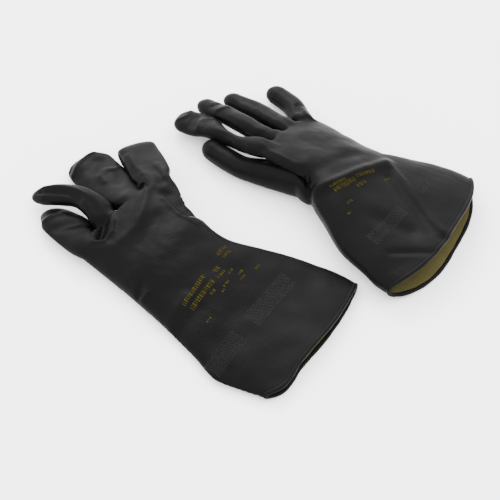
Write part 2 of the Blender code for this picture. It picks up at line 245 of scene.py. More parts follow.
RIGHT_DIGITS = (
    Digit("thumb", (18, 36, 20), 50, 12, 11, (
        (18, 33, 21, 12, 15, 0),
        (34, 32, 21, 13, 17, 0),
        (50, 35, 19.5, 14.5, 17, 0),
        (75, 42, 17, 15, 15, 0),
        (104, 51, 14, 12.5, 12, 0),
        (131, 52, 13, 12.5, 11.5, 0),
        (159, 51, 13, 12, 11, 0),
    )),
    Digit("index", (92, 33, 38), 22, 11.5, 9.5, (
        (92, 33, 38, 11.5, 9.5, 0),
        (104, 37, 36, 10, 9, 0),
        (118, 40, 33, 7, 9, 0),
        (134, 40, 30, 5, 9, 20),
        (150, 38, 26, 10, 8.5, 20),
        (166, 36, 22, 15, 8, 10),
        (184, 37, 17, 17, 8, 0),
        (211, 40, 12, 15, 7, 0),
    )),
    Digit("middle", (96, 8, 31), 6, 11.5, 9.5, (
        (96, 8, 31, 11.5, 9.5, 0),
        (112, 12, 31, 11, 9.5, 0),
        (142, 11, 28, 11, 9.5, 0),
        (168, 8, 22, 11, 9, 0),
        (191, 6, 15, 11, 8.5, 0),
        (210, 5, 11, 10, 8, 0),
    )),
    Digit("ring", (99, -18, 25), -9, 11.5, 9.5, (
        (99, -18, 25, 11.5, 9.5, 0),
        (115, -18, 23, 12, 9.5, 0),
        (138, -21, 20, 12, 9.5, 0),
        (161, -22, 16, 11, 9, 0),
        (180, -23, 12, 10.5, 8.5, 0),
        (196, -22, 10, 10, 8, 0),
    )),
    Digit("little", (98, -44, 18), -26, 11.5, 9.5, (
        (98, -44, 18, 11.5, 9.5, 0),
        (110, -50, 15, 12, 9.5, 0),
        (127, -59, 13, 12, 9.5, 0),
        (145, -63, 11, 12, 9, 0),
        (168, -64, 10, 11, 8.5, 0),
    )),
)

# Folds and dents pressed into the upper side of the rubber: the part of the skin,
# height (below zero for a groove), width, and the line it follows in plan.
LEFT_FOLDS = (
    ("hand", 1.3, 3.0, ((70, 52), (55, 47), (42, 45), (22, 47))),
    ("hand", -1.8, 4.5, ((74, 58), (58, 54), (40, 51))),
    ("hand", 2.2, 6.0, ((92, 50), (84, 36), (74, 20), (67, 4), (68, -27), (84, -40))),
    ("hand", -1.6, 9.0, ((58, 28), (50, 5), (50, -20))),
    ("all", -7.5, 4.6, ((112, -14), (101, -7), (95, -16), (90, -25))),
    ("hand", 2.6, 3.2, ((104, 4), (92, -4), (83, -16), (82, -29), (92, -36))),
    ("hand", -2.6, 4.0, ((14, -62), (12, -54), (16, -46))),
    ("hand", 1.6, 3.0, ((7, -58), (5, -50))),
    ("hand", -2.4, 9.0, ((-50, -78), (-46, -56), (-44, -34))),
    ("hand", 1.4, 6.0, ((-36, -64), (-31, -46), (-30, -30))),
    ("all", -1.8, 5.0, ((104, 78), (96, 74), (87, 68))),
    ("all", 0.9, 4.0, ((110, 86), (100, 82), (90, 77))),
    ("index", -1.4, 8.0, ((136, 92), (124, 80))),
    ("index", 1.2, 4.0, ((112, 66), (128, 72), (146, 80))),
    ("middle", 1.9, 3.6, ((150, 62), (157, 54), (153, 44), (143, 40))),
    ("middle", -2.6, 8.0, ((174, 60), (168, 48))),
    ("middle", -2.0, 7.0, ((136, 58), (130, 48))),
    ("middle", 2.2, 2.6, ((183, 30), (188, 44), (190, 62), (186, 78))),
    ("middle", -2.2, 3.6, ((190, 34), (196, 48), (197, 62))),
    ("ring", -3.0, 3.6, ((186, -14), (172, -9), (156, -3), (140, -2))),
    ("ring", 1.2, 2.4, ((188, -8), (172, -2), (156, 4), (138, 5))),
    ("ring", -2.2, 4.0, ((128, 2), (114, -4))),
    ("little", 1.8, 3.0, ((160, -40), (156, -30), (150, -18))),
    ("little", -2.6, 7.0, ((140, -40), (132, -28), (124, -18))),
)
RIGHT_FOLDS = (
    ("hand", 3.4, 6.5, ((10, 50), (2, 41), (-5, 24), (-11, 2), (-17, -22), (-20, -40))),
    ("hand", -1.4, 8.0, ((24, 30), (18, 6), (10, -24))),
    ("hand", 1.2, 3.5, ((-28, -38), (-46, -30), (-73, -16), (-97, -4), (-124, 8))),
    ("hand", -1.6, 7.0, ((-36, -22), (-54, -14), (-78, -2), (-98, 8))),
    ("hand", -2.6, 6.0, ((-112, 6), (-122, 12), (-136, 16))),
    ("hand", -1.6, 3.5, ((-94, 56), (-106, 40), (-118, 26))),
    ("hand", -2.4, 9.0, ((-62, 30), (-88, 22))),
    ("thumb", -2.4, 5.0, ((36, 32), (58, 33), (82, 38))),
    ("all", -2.6, 4.0, ((14, 44), (24, 38), (34, 35))),
    ("hand", 1.4, 3.0, ((96, 36), (70, 36), (44, 34))),
    ("all", -4.2, 4.2, ((122, -4), (112, -3), (103, 0))),
    ("all", -3.2, 4.0, ((124, 22), (114, 22), (106, 20))),
    ("all", -2.2, 4.0, ((106, -34), (96, -38))),
    ("all", 1.6, 3.0, ((110, -56), (98, -48), (88, -50))),
    ("all", -1.8, 3.5, ((118, -56), (110, -48))),
    ("index", 1.8, 3.0, ((172, 50), (178, 38), (170, 26))),
    ("index", -2.6, 5.0, ((184, 46), (188, 34))),
    ("index", 1.6, 2.6, ((206, 52), (198, 38), (202, 28))),
    ("middle", 1.4, 2.6, ((176, 14), (168, 4))),
    ("middle", -1.8, 3.6, ((186, 10), (180, 0))),
    ("ring", -1.4, 5.0, ((168, -22), (150, -20))),
)

# Bands of grip points on the gauntlets: x and y limits, and how far x shifts with y.
GRIP_BANDS = {
    "left": ((-106, -86, -10, 62, 0.1), (-106, -86, -80, -30, 0.1)),
    "right": ((-84, -68, 4, 60, -0.06), (-80, -66, -46, -24, -0.06)),
}

# Digits whose textured ends are in sight.
TEXTURED = {
    "left": ("middle", "ring"),
    "right": ("thumb", "index", "middle", "ring", "little"),
}

# Rows of stamped bars: start in plan, direction, height, and bar and space lengths.
SHORT_BARS = ((1.3, 1.3), (0.9, 1.2), (1.9, 1.3), (1.0, 1.5), (1.4, 1.2), (2.0, 1.4))
SMALL_MARKS = ((1.6, 1.2), (1.0, 1.2), (2.2, 1.3))
PRINT_ROWS = {
    "left": (
        (-32, -40, 0.18, 1, 4.6, SHORT_BARS + SHORT_BARS + SHORT_BARS[:4]),
        (-40, -37, 0.12, 1, 5.0, SHORT_BARS + SHORT_BARS + SHORT_BARS[:3]),
        (-18, 30, 0.1, 1, 4.6, SHORT_BARS),
        (-25, 32, 0.1, 1, 3.4, SHORT_BARS[:5]),
        (-29, 12, 0.1, 1, 5.0, SHORT_BARS[:3]),
        (-38, 8, 0.1, 1, 2.6, SHORT_BARS[:5]),
        (-49, 4, 0.1, 1, 2.4, SHORT_BARS[:4]),
        (-56, 22, 0.1, 1, 2.2, SHORT_BARS[:4]),
        (-45, -12, 0.1, 1, 3.0, SMALL_MARKS),
        (-52, -2, 0.1, 1, 2.4, SMALL_MARKS[:2]),
        (-42, 20, 0.1, 1, 3.0, SMALL_MARKS),
        (-50, 26, 0.1, 1, 2.4, SMALL_MARKS),
        (-64, -40, 0.1, 1, 2.2, SMALL_MARKS),
        (-58, 44, 0.1, 1, 2.2, SMALL_MARKS),
    ),
    "right": (
        (-8, 37, -0.22, -1, 2.8, SHORT_BARS + SHORT_BARS[:2]),
        (-15, 37, -0.15, -1, 5.0, SHORT_BARS + SHORT_BARS[:5]),
        (-17, 6, -0.3, -1, 3.4, SHORT_BARS + SHORT_BARS[:3]),
        (-26, 14, -0.1, -1, 4.0, SHORT_BARS[:5]),
        (-34, 40, -0.1, -1, 3.0, SMALL_MARKS),
        (-43, 50, -0.1, -1, 2.4, SMALL_MARKS[:2]),
        (-38, -16, -0.1, -1, 2.4, SMALL_MARKS),
    ),
}


# ---------------------------------------------------------------- small helpers


def smoothstep(value):
    value = np.clip(value, 0.0, 1.0)
    return value * value * (3 - 2 * value)


def unit(vector):
    return vector / np.linalg.norm(vector)


def signed_power(value, power):
    return np.sign(value) * np.abs(value) ** power


def spline(points, count):
    """Evenly spaced points on a smooth curve through the given rows."""
    points = np.asarray(points, float)
    ends = np.vstack([2 * points[0] - points[1], points, 2 * points[-1] - points[-2]])
    rows = []
    for step in range(len(points) - 1):
        a, b, c, d = ends[step:step + 4]
        t = np.linspace(0, 1, 24, endpoint=False)[:, None]
        rows.append(0.5 * (
            2 * b + (c - a) * t + (2 * a - 5 * b + 4 * c - d) * t ** 2
            + (3 * b - a - 3 * c + d) * t ** 3
        ))
    rows = np.vstack(rows + [points[-1:]])
    gaps = np.linalg.norm(np.diff(rows[:, :3], axis=0), axis=1)
    along = np.concatenate([[0.0], np.cumsum(gaps)])
    even = np.linspace(0, along[-1], count)
    return even, np.column_stack([np.interp(even, along, rows[:, k]) for k in range(rows.shape[1])])


# ---------------------------------------------------------------- glove frames


def joint(name):
    return next(j for j in frame["record"]["behaviour"]["joints"] if j["name"] == name)


class Glove:
    """A glove's frame, taken from its wrist joint, and its design.

    bow_low and bow_high are how far the mouth's lower and upper layers bow out,
    corner is how much further the near corner reaches, and edge is the height of
    the sharp edge in a section, as a share of the section.
    """

    def __init__(self, name, side, body, digits, folds, bow_low, bow_high, corner, edge):
        self.name = name
        self.side = side
        self.body = np.array(body, float)
        self.folds = folds
        self.bow_low = bow_low
        self.bow_high = bow_high
        self.corner = corner
        self.edge = edge
        self.digits = {digit.name: digit for digit in digits}
        wrist = joint(f"{name}_wrist_bend")
        axis = unit(np.array(wrist["axis"], float))
        forward = np.cross([0.0, 0.0, 1.0], axis)
        thumbward = side * np.cross([0.0, 0.0, 1.0], forward)
        self.axes = np.array([forward, thumbward, [0.0, 0.0, 1.0]])
        self.origin = np.array([*wrist["pos_m"][:2], 0.0])

    def world(self, points):
        return np.asarray(points, float) * MM @ self.axes + self.origin

    def local(self, points):
        return (np.asarray(points, float) - self.origin) @ self.axes.T / MM


# ---------------------------------------------------------------- straight glove


def section_ring(row, edge):
    """Pillow-shaped section: flat below, arched above, meeting at a narrow edge."""
    x, y, half, low, high, rise, slant = row
    angle = np.linspace(0, 2 * np.pi, SECTION_POINTS, endpoint=False)
    across = signed_power(np.cos(angle), 0.82)
    up = np.where(
        np.sin(angle) > 0,
        (1 - edge) * signed_power(np.sin(angle), 0.92),
        edge * signed_power(np.sin(angle), 0.6),
    )
    offset = across * half
    return np.column_stack([
        x + slant * across,
        y + offset,
        low + (edge + up) * (high - low) + rise * offset,
    ])


def loft(bm, rings):
    loops = [[bm.verts.new(point) for point in ring] for ring in rings]
    count = len(loops[0])
    for lower, upper in zip(loops, loops[1:]):
        for k in range(count):
            bm.faces.new((lower[k], lower[(k + 1) % count], upper[(k + 1) % count], upper[k]))
    bm.faces.new(loops[0][::-1])
    bm.faces.new(loops[-1])


def digit_axes(digit):
    forward = np.array([math.cos(digit.heading), math.sin(digit.heading), 0.0])
    across = np.array([-forward[1], forward[0], 0.0])
    return forward, across


def stall_rings(digit, length):
    """Straight stall with a rounded end; the first part is buried in the hand."""
    forward, across = digit_axes(digit)
    cap = digit.half * 1.1
    stations = [-BURIED, 0.0, 0.5 * length, length - cap]
    sizes = [0.8, 1.0, 1.0, 1.0]
    for angle in (20, 40, 58, 72, 82):
        stations.append(length - cap + cap * math.sin(math.radians(angle)))
        sizes.append(math.cos(math.radians(angle)))
    rings = []
    for along, size in zip(stations, sizes):
        angle = np.linspace(0, 2 * np.pi, TUBE_POINTS, endpoint=False)
        offset = signed_power(np.cos(angle), 0.9) * digit.half * size
        up = signed_power(np.sin(angle), 0.9) * digit.height * size
        rings.append(
            digit.root + forward * along
            + across * offset[:, None] + np.array([0.0, 0.0, 1.0]) * up[:, None]
        )
    return rings


def mesh_points(mesh):
    verts = np.empty(len(mesh.vertices) * 3)
    mesh.vertices.foreach_get("co", verts)
    return verts.reshape(-1, 3)


def smooth(verts, edges, rounds, factor=0.5):
    """Shape-keeping smoothing: each round shrinks, then swells by as much."""
    degree = np.bincount(edges.ravel(), minlength=len(verts))[:, None]
    for _ in range(rounds):
        for step in (factor, -factor * 1.03):
            total = np.zeros_like(verts)
            for axis in range(3):
                total[:, axis] = np.bincount(
                    np.concatenate([edges[:, 0], edges[:, 1]]),
                    weights=np.concatenate([verts[edges[:, 1], axis], verts[edges[:, 0], axis]]),
                    minlength=len(verts),
                )
            verts = verts + step * (total / degree - verts)
    return verts


def straight_glove(glove, lengths):
    """Merged skin of the straight glove, cut open at the rim: a bmesh in millimetres."""
    bm = bmesh.new()
    _, rows = spline(glove.body, BODY_SECTIONS)
    loft(bm, [section_ring(row, glove.edge) for row in rows])
    for name, digit in glove.digits.items():
        loft(bm, stall_rings(digit, lengths[name]))
    bmesh.ops.recalc_face_normals(bm, faces=bm.faces)
    mesh = bpy.data.meshes.new("straight")
    bm.to_mesh(mesh)
    bm.free()
    solid = bpy.data.objects.new("straight", mesh)
    bpy.context.scene.collection.objects.link(solid)
    remesh = solid.modifiers.new("merge", "REMESH")
    remesh.mode = "VOXEL"
    remesh.voxel_size = VOXEL
    remesh.adaptivity = 0.0
    graph = bpy.context.evaluated_depsgraph_get()
    merged = bpy.data.meshes.new_from_object(solid.evaluated_get(graph))
    bpy.data.objects.remove(solid)

    edges = np.empty(len(merged.edges) * 2, int)
    merged.edges.foreach_get("vertices", edges)
    verts = smooth(mesh_points(merged), edges.reshape(-1, 2), SMOOTH_ROUNDS)
    merged.vertices.foreach_set("co", verts.ravel())

    skin = bmesh.new()
    skin.from_mesh(merged)
    rim = glove.body[1]
    normal = Vector((1.0, -rim[6] / rim[2], 0.0))
    bmesh.ops.bisect_plane(
        skin, geom=skin.verts[:] + skin.edges[:] + skin.faces[:], dist=0.01,
        plane_co=Vector((rim[0], rim[1], 0.0)), plane_no=normal, clear_inner=True,
    )
    return skin


# ---------------------------------------------------------------- laying the digits


class Lay:
    """Curve that a digit lies along, with its turning frame."""

    def __init__(self, digit):
        self.along, rows = spline(digit.points, LAY_POINTS)
        self.length = self.along[-1]
        self.centre = rows[:, :3]
        self.half = rows[:, 3] / digit.half
        self.height = rows[:, 4] / digit.height
        roll = np.radians(rows[:, 5])
        tangent = np.gradient(self.centre, axis=0)
        tangent /= np.linalg.norm(tangent, axis=1)[:, None]
        across = np.cross([0.0, 0.0, 1.0], tangent[0])
        frames = []
        for direction in tangent:
            across = unit(across - direction * (across @ direction))
            frames.append(across)
        across = np.array(frames)
        up = np.cross(tangent, across)
        turn_c, turn_s = np.cos(roll)[:, None], np.sin(roll)[:, None]
        self.tangent = tangent
        self.across = across * turn_c + up * turn_s
        self.up = up * turn_c - across * turn_s

    def sample(self, table, along):
        return np.column_stack([
            np.interp(along, self.along, table[:, k]) for k in range(table.shape[1])
        ])

    def carry(self, along, across, up):
        """Points of the straight stall, moved on to the curve."""
        half = np.interp(along, self.along, self.half)
        height = np.interp(along, self.along, self.height)
        beyond = np.clip(along - self.length, 0.0, None)
        return (
            self.sample(self.centre, along)
            + self.sample(self.tangent, along) * beyond[:, None]
            + self.sample(self.across, along) * (across * half)[:, None]
            + self.sample(self.up, along) * (up * height)[:, None]
        )


def digit_coordinates(digit, verts):
    forward, across = digit_axes(digit)
    offset = verts - digit.root
    return offset @ forward, offset @ across, offset[:, 2]


def assign_digits(glove, verts, lays):
    """For each vertex the nearest digit and how far along it the vertex is."""
    owner = np.full(len(verts), -1)
    along_own = np.full(len(verts), -1e3)
    nearest = np.full(len(verts), 1e9)
    for number, name in enumerate(DIGIT_NAMES):
        digit = glove.digits[name]
        along, across, up = digit_coordinates(digit, verts)
        distance = np.hypot(across / digit.half, up / digit.height)
        inside = (along > 0) & (distance < 1.7) & (along < lays[name].length + 12)
        closer = inside & (distance < nearest)
        owner[closer] = number
        nearest[closer] = distance[closer]
        along_own[closer] = along[closer]
    return owner, along_own


def lay_digits(glove, verts, owner, lays):
    """Carry every digit on to its curve, blending in over the first stretch."""
    laid = verts.copy()
    for number, name in enumerate(DIGIT_NAMES):
        chosen = owner == number
        along, across, up = digit_coordinates(glove.digits[name], verts[chosen])
        carried = lays[name].carry(along, across, up)
        weight = smoothstep(along / RAMP)[:, None]
        laid[chosen] = verts[chosen] * (1 - weight) + carried * weight
    return laid


def vertex_normals(verts, faces):
    mesh = bpy.data.meshes.new("normals")
    mesh.from_pydata([tuple(v) for v in verts], [], [tuple(f) for f in faces])
    mesh.update()
    normals = np.empty(len(verts) * 3)
    mesh.vertices.foreach_get("normal", normals)
    bpy.data.meshes.remove(mesh)
    return normals.reshape(-1, 3)


def line_distance(plan, line):
    """Distance in plan from each point to a line through several points."""
    nearest = np.full(len(plan), 1e9)
    for first, second in zip(line, line[1:]):
        a = np.array(first, float)
        run = np.array(second, float) - a
        share = np.clip((plan - a) @ run / (run @ run), 0.0, 1.0)
        gap = plan - a - share[:, None] * run
        nearest = np.minimum(nearest, np.hypot(gap[:, 0], gap[:, 1]))
    return nearest


def press_folds(glove, laid, faces, owner):
    """Press folds and dents into the upper side, and soft waves everywhere."""
    upward = smoothstep(vertex_normals(laid, faces)[:, 2] * 1.6)
    for part, height, width, line in glove.folds:
        distance = line_distance(laid[:, :2], line)
        press = height * np.exp(-(distance / width) ** 2) * upward
        if part == "hand":
            press[owner >= 0] = 0.0
        elif part != "all":
            press[owner != DIGIT_NAMES.index(part)] = 0.0
        laid[:, 2] += press
    on_hand = smoothstep((laid[:, 0] + 30.0) / 60.0)
    rise = np.zeros(len(laid))
    for size, height, more in WAVES:
        field = np.array([noise.noise(Vector(point) / size) for point in laid])
        rise += field * (height + more * on_hand)
    laid[:, 2] += upward * rise


def bow_rim(glove, laid):
    """Bow the mouth outwards, its lower layer further than the upper one."""
    rows = glove.body
    x = laid[:, 0]
    centre = np.interp(x, rows[:, 0], rows[:, 1])
    half = np.interp(x, rows[:, 0], rows[:, 2])
    low = np.interp(x, rows[:, 0], rows[:, 3])
    high = np.interp(x, rows[:, 0], rows[:, 4])
    across = np.clip((laid[:, 1] - centre) / half, -1.0, 1.0)
    layer = smoothstep((laid[:, 2] - low) / (high - low))
    bow = glove.bow_low + (glove.bow_high - glove.bow_low) * layer
    away = np.clip(x / rows[1, 0], 0.0, 1.2)
    power = np.where(across < 0, BOW_POWER_LITTLE, BOW_POWER_THUMB)
    laid[:, 0] -= bow * away ** 2 * (1 - np.abs(across) ** power)
    near_corner = smoothstep((-across - 0.35) / 0.5)
    laid[:, 0] -= glove.corner * near_corner * away ** 4
    ripple = np.sin(laid[:, 1] / RIPPLE_LENGTH + 1.0) * layer * np.clip(away * 5 - 4, 0.0, 1.0)
    laid[:, 2] += RIPPLE * ripple * (1 - across ** 2)


# ---------------------------------------------------------------- materials


def node(tree, kind, **settings):
    made = tree.nodes.new(kind)
    for key, value in settings.items():
        if key in made.inputs:
            made.inputs[key].default_value = value
        else:
            setattr(made, key, value)
    return made


def rubber_material(name, dark, light, rough_low, rough_high, sheen):
    """Rubber: mottled bloom, fine dust and a slightly pebbled surface."""
    material = bpy.data.materials.new(name)
    material.use_nodes = True
    tree = material.node_tree
    link = tree.links.new
    shader = tree.nodes["Principled BSDF"]
    shader.inputs["Specular IOR Level"].default_value = sheen
    place = node(tree, "ShaderNodeTexCoord")

    cloud = node(tree, "ShaderNodeTexNoise", Scale=14.0, Detail=5.0, Roughness=0.6)
    fine = node(tree, "ShaderNodeTexNoise", Scale=420.0, Detail=3.0, Roughness=0.55)
    pebble = node(tree, "ShaderNodeTexNoise", Scale=1500.0, Detail=2.0, Roughness=0.5)
    for texture in (cloud, fine, pebble):
        link(place.outputs["Object"], texture.inputs["Vector"])

    tone = node(tree, "ShaderNodeValToRGB")
    tone.color_ramp.elements[0].position = 0.32
    tone.color_ramp.elements[0].color = (*dark, 1.0)
    tone.color_ramp.elements[1].position = 0.72
    tone.color_ramp.elements[1].color = (*light, 1.0)
    link(cloud.outputs["Fac"], tone.inputs["Fac"])

    specks = node(tree, "ShaderNodeMapRange")
    specks.inputs["From Min"].default_value = 0.62
    specks.inputs["From Max"].default_value = 0.8
    specks.inputs["To Max"].default_value = 0.25
    link(fine.outputs["Fac"], specks.inputs["Value"])
    dusted = node(tree, "ShaderNodeMix", data_type="RGBA")
    link(specks.outputs["Result"], dusted.inputs["Factor"])
    link(tone.outputs["Color"], dusted.inputs[6])
    dusted.inputs[7].default_value = DUST
    link(dusted.outputs[2], shader.inputs["Base Color"])

    rough = node(tree, "ShaderNodeMapRange")
    rough.inputs["From Min"].default_value = 0.3
    rough.inputs["From Max"].default_value = 0.7
    rough.inputs["To Min"].default_value = rough_low
    rough.inputs["To Max"].default_value = rough_high
    link(cloud.outputs["Fac"], rough.inputs["Value"])
    link(rough.outputs["Result"], shader.inputs["Roughness"])

    grain = node(tree, "ShaderNodeBump", Strength=0.12, Distance=0.0004)
    waves = node(tree, "ShaderNodeBump", Strength=0.18, Distance=0.0012)
    link(fine.outputs["Fac"], waves.inputs["Height"])
    link(pebble.outputs["Fac"], grain.inputs["Height"])
    link(waves.outputs["Normal"], grain.inputs["Normal"])
    link(grain.outputs["Normal"], shader.inputs["Normal"])
    return material


def ink_material():
    """Yellow stamping ink, thin and broken where the rubber shows through."""
    material = bpy.data.materials.new("stamping_ink")
    material.use_nodes = True
    tree = material.node_tree
    link = tree.links.new
    shader = tree.nodes["Principled BSDF"]
    shader.inputs["Roughness"].default_value = 0.65
    shader.inputs["Specular IOR Level"].default_value = SHEEN
    place = node(tree, "ShaderNodeTexCoord")
    wear = node(tree, "ShaderNodeTexNoise", Scale=520.0, Detail=3.0, Roughness=0.6)
    link(place.outputs["Object"], wear.inputs["Vector"])
    tone = node(tree, "ShaderNodeValToRGB")
    tone.color_ramp.elements[0].position = 0.4
    tone.color_ramp.elements[0].color = INK_WORN
    tone.color_ramp.elements[1].position = 0.56
    tone.color_ramp.elements[1].color = INK_FULL
    link(wear.outputs["Fac"], tone.inputs["Fac"])
    link(tone.outputs["Color"], shader.inputs["Base Color"])
    return material


# ---------------------------------------------------------------- pieces


def add_mesh(name, verts, faces, material):
    mesh = bpy.data.meshes.new(name)
    mesh.from_pydata([tuple(v) for v in verts], [], [tuple(f) for f in faces])
    mesh.materials.append(material)
    mesh.polygons.foreach_set("use_smooth", [True] * len(mesh.polygons))
    mesh.update()
    piece = bpy.data.objects.new(name, mesh)
    bpy.context.scene.collection.objects.link(piece)
    return piece


def boundary_edges(faces):
    """Edges that belong to one face only, in the order that face runs them."""
    seen = {}
    for face in faces:
        for k, first in enumerate(face):
            second = face[(k + 1) % len(face)]
            key = (min(first, second), max(first, second))
            seen[key] = None if key in seen else (first, second)
    return [edge for edge in seen.values() if edge is not None]


def make_shell(name, verts, normals, faces, wall, material, lift=0.0):
    """Closed sheet of rubber over some faces, shaded with the whole skin's normals."""
    used = np.unique(np.concatenate([np.array(face) for face in faces]))
    index = np.full(len(verts), -1)
    index[used] = np.arange(len(used))
    outer = verts[used] + normals[used] * lift
    inner = outer - normals[used] * wall
    count = len(used)
    top = [tuple(index[k] for k in face) for face in faces]
    under = [tuple(k + count for k in face[::-1]) for face in top]
    rims = [(b, a, a + count, b + count) for a, b in boundary_edges(top)]
    piece = add_mesh(name, np.vstack([outer, inner]), top + under + rims, material)
    shading = np.vstack([normals[used], -normals[used]])
    piece.data.normals_split_custom_set_from_vertices([tuple(n) for n in shading])
    return piece


class Skin:
    """The laid skin of a glove as arrays in world space."""

    def __init__(self, glove):
        self.glove = glove
        self.lays = {name: Lay(digit) for name, digit in glove.digits.items()}
        lengths = {name: lay.length for name, lay in self.lays.items()}
        bm = straight_glove(glove, lengths)
        bm.verts.ensure_lookup_table()
        straight = np.array([v.co[:] for v in bm.verts])
        self.faces = [[v.index for v in face.verts] for face in bm.faces]
        bm.free()
        self.straight = straight
        self.owner, self.along = assign_digits(glove, straight, self.lays)
        self.laid = lay_digits(glove, straight, self.owner, self.lays)
        press_folds(glove, self.laid, self.faces, self.owner)
        bow_rim(glove, self.laid)
        self.laid[:, 2] = np.maximum(self.laid[:, 2], FLOOR_GAP)
        self.face_owner()

    def face_owner(self):
        """A face belongs to a digit only if all its corners do."""
        owners = []
        alongs = []
        for face in self.faces:
            own = self.owner[face]
            same = own.min() == own.max()
            owners.append(own[0] if same else -1)
            alongs.append(self.along[face].mean() if same else -1.0)
        self.of_face = np.array(owners)
        self.along_face = np.array(alongs)

    def place(self):
        """World positions and vertex normals of the finished skin."""
        if self.glove.side < 0:
            self.faces = [face[::-1] for face in self.faces]
        self.verts = self.glove.world(self.laid)
        self.normals = vertex_normals(self.verts, self.faces)
        self.tree = BVHTree.FromPolygons(
            [tuple(v) for v in self.verts], [tuple(f) for f in self.faces],
        )


def faces_where(skin, chosen):
    return [skin.faces[k] for k in np.flatnonzero(chosen)]


def wrist_ends(glove):
    """Start and end of the wrist's bend, to both sides of its middle."""
    return glove.world([[-WRIST_REACH, 0.0, WRIST_HEIGHT], [WRIST_REACH, 0.0, WRIST_HEIGHT]])


def split_skin(skin, paints):
    """One shell for the arm and hand, and two for each digit."""
    glove = skin.glove
    name = glove.name
    in_digit = (skin.of_face >= 0) & (skin.along_face > SEAM)
    rest = ~in_digit
    hand = make_shell(
        f"{name}_arm_and_hand", skin.verts, skin.normals, faces_where(skin, rest),
        SKIN_WALL * MM, paints["skin"],
    )
    wrist_ends(glove)
    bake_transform(hand)
    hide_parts(f"{name}_gauntlet", f"{name}_hand")
    for number, digit_name in enumerate(DIGIT_NAMES):
        split_digit(skin, number, digit_name, in_digit, paints)


def split_digit(skin, number, digit_name, in_digit, paints):
    """Base and tip of one digit.

    The folded finger is cut at the furthest point of its fold; the others are cut
    a little before the bend.
    """
    glove = skin.glove
    name = f"{glove.name}_{digit_name}"
    lay = skin.lays[digit_name]
    knuckle = knuckle_joint(name)
    middle = joint(f"{name}_middle")
    base_along = nearest_along(glove, lay, knuckle["pos_m"])
    folded = digit_name == "index" and glove.name == "left"
    if folded:
        cut = lay.along[np.argmax(lay.centre[:, 0])]
        tip_ends = across_fold(glove, middle)
    else:
        tip_along = nearest_along(glove, lay, middle["pos_m"])
        cut = tip_along - BEND_REACH - CUT_BACK
        tip_ends = across_joint(glove, lay, tip_along, BEND_REACH)
    mine = in_digit & (skin.of_face == number)
    base = make_shell(
        f"{name}_base_skin", skin.verts, skin.normals,
        faces_where(skin, mine & (skin.along_face <= cut)), SKIN_WALL * MM, paints["skin"],
    )
    tip = make_shell(
        f"{name}_tip_skin", skin.verts, skin.normals,
        faces_where(skin, mine & (skin.along_face > cut)), SKIN_WALL * MM, paints["tip"],
    )
    reach = BEND_REACH * KNUCKLE_SHARE
    base_ends = across_joint(glove, lay, max(base_along, SEAM + CUT_BACK + reach), reach)
    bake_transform(base)
    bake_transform(tip)
    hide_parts(f"{name}_base")
    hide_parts(f"{name}_tip")


def knuckle_joint(name):
    kind = "swing" if name.endswith("thumb") else "knuckle"
    return joint(f"{name}_{kind}")


def nearest_along(glove, lay, place):
    offset = lay.centre - glove.local(place)
    return lay.along[np.argmin(np.hypot(offset[:, 0], offset[:, 1]))]


def across_joint(glove, lay, along, reach):
    """Start and end of a bend, square to the digit where the joint is."""
    centre = lay.sample(lay.centre, np.array([along]))[0]
    tangent = lay.sample(lay.tangent, np.array([along]))[0]
    return glove.world([centre - tangent * reach, centre + tangent * reach])


def across_fold(glove, fold):
    """Start and end of the folded finger's bend, from outside its fold line inwards."""
    line = glove.local(fold["pos_m"])
    outward = np.cross(glove.axes @ np.array(fold["axis"]), [0.0, 0.0, 1.0])
    return glove.world([line + outward * FOLD_OUT, line - outward * FOLD_IN])


# ---------------------------------------------------------------- cuff


def build_liner(skin, paints):
    """Olive layer inside the gauntlet, as far in as it can be seen."""
    glove = skin.glove
    in_arm = np.array([skin.laid[face, 0].max() < LINER_REACH for face in skin.faces])
    inner = make_shell(
        f"{glove.name}_inner_layer", skin.verts, skin.normals,
        faces_where(skin, in_arm), LINER_WALL * MM, paints["liner"], lift=-LINER_DEPTH * MM,
    )
    wrist_ends(glove)
    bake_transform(inner)
    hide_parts(f"{glove.name}_gauntlet_liner", f"{glove.name}_hand_liner")


def rim_loop(skin):
    """Ordered vertices round the open mouth."""
    following = dict(boundary_edges([tuple(face) for face in skin.faces]))
    start = next(iter(following))
    loop = [start]
    while following[loop[-1]] != start:
        loop.append(following[loop[-1]])
    return np.array(loop)


def soften(rows, rounds=3):
    """Smooth a closed row of points."""
    kernel = np.array([1, 4, 6, 4, 1]) / 16.0
    for _ in range(rounds):
        rows = sum(w * np.roll(rows, k - 2, axis=0) for k, w in enumerate(kernel))
    return rows


def bead_path(skin):
    """Evenly spaced points round the rim in mid-wall, with outward directions."""
    loop = rim_loop(skin)
    path = skin.verts[loop] - skin.normals[loop] * SKIN_WALL * 0.5 * MM
    closed = np.vstack([path, path[:1]])
    outward = np.vstack([skin.normals[loop], skin.normals[loop][:1]])
    gaps = np.linalg.norm(np.diff(closed, axis=0), axis=1)
    along = np.concatenate([[0.0], np.cumsum(gaps)])
    even = np.linspace(0, along[-1], BEAD_SECTIONS, endpoint=False)
    path = np.column_stack([np.interp(even, along, closed[:, k]) for k in range(3)])
    outward = np.column_stack([np.interp(even, along, outward[:, k]) for k in range(3)])
    return soften(path), soften(outward)


